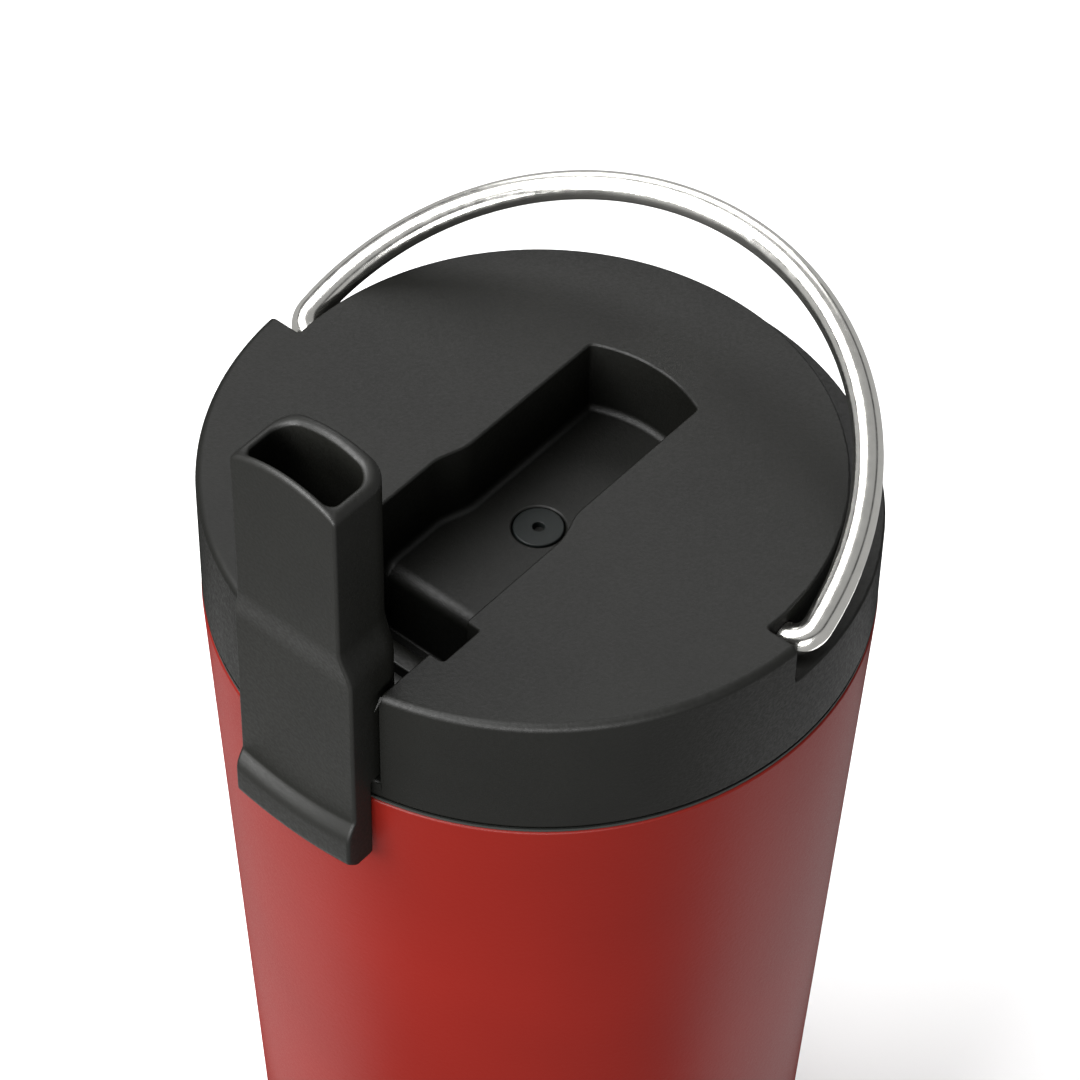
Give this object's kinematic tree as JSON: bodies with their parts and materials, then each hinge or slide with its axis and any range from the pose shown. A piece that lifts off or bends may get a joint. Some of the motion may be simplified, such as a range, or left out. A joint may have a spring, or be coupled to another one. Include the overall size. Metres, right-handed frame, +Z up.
{
  "type": "insulated travel mug",
  "caption": "Tapered double-walled steel travel mug with a screw-on lid, a flip-up drinking spout and a swinging steel bail for carrying.",
  "frame": {"origin": "centre of the foot pad's flat underside, where the mug stands", "axes": "+Z up along the cup's axis, -Y towards the spout at the front, +X to the right when looking along +Y; the bail pivots on X"},
  "size_m": [0.0904, 0.0942, 0.2181],
  "materials": {
    "cup_coat": "satin powder coat",
    "cup_steel": "brushed",
    "foil": "bright",
    "seal_glass": "gloss",
    "getter_metal": "sintered",
    "pad_silicone": "matte",
    "lid_plastic": "fine grain",
    "plug_plastic": "satin",
    "foam": "expanded foam",
    "gasket_silicone": "matte",
    "vent_silicone": "matte",
    "bush_plastic": "satin",
    "bail_steel": "polished"
  },
  "bodies": {
    "mug": {"outer_shell": "cup_coat", "inner_liner": "cup_steel", "radiation_foil": "foil", "vacuum_bottom": "cup_steel", "vacuum_seal": "seal_glass", "getter": "getter_metal", "getter_clip": "cup_steel", "base_cover": "cup_steel", "foot_pad": "pad_silicone"},
    "lid_seal": {"lid_gasket": "gasket_silicone"},
    "lid": {"lid_cover": "lid_plastic", "lid_base": "plug_plastic", "lid_insulation": "foam", "spout_seal": "gasket_silicone", "duct_gasket": "gasket_silicone", "vent_grommet": "vent_silicone", "bail_bush_left": "bush_plastic", "bail_bush_right": "bush_plastic"},
    "spout": {"spout": "lid_plastic", "vent_plug": "vent_silicone"},
    "bail": {"bail_handle": "bail_steel", "bail_clip_left": "bail_steel", "bail_clip_right": "bail_steel"}
  },
  "joints": [
    {"name": "lid_rise", "type": "slide", "parent": "mug", "child": "lid_seal", "axis": [0, 0, 1], "range_m": [0, 0.0225]},
    {"name": "lid_turn", "type": "hinge", "parent": "lid_seal", "child": "lid", "pos_m": [0, 0, 0.1614], "axis": [0, 0, 1], "range_deg": [0, 675]},
    {"name": "spout_flip", "type": "hinge", "parent": "lid", "child": "spout", "pos_m": [0, -0.03065, 0.16485], "axis": [1, 0, 0], "range_deg": [-90, 0]},
    {"name": "bail_swing", "type": "hinge", "parent": "lid", "child": "bail", "pos_m": [0, 0, 0.178], "axis": [1, 0, 0], "range_deg": [-25, 75]}
  ],
  "couplings": [
    {"joint": "lid_rise", "follows": "lid_turn", "m_per_rad": 0.0019099}
  ]
}
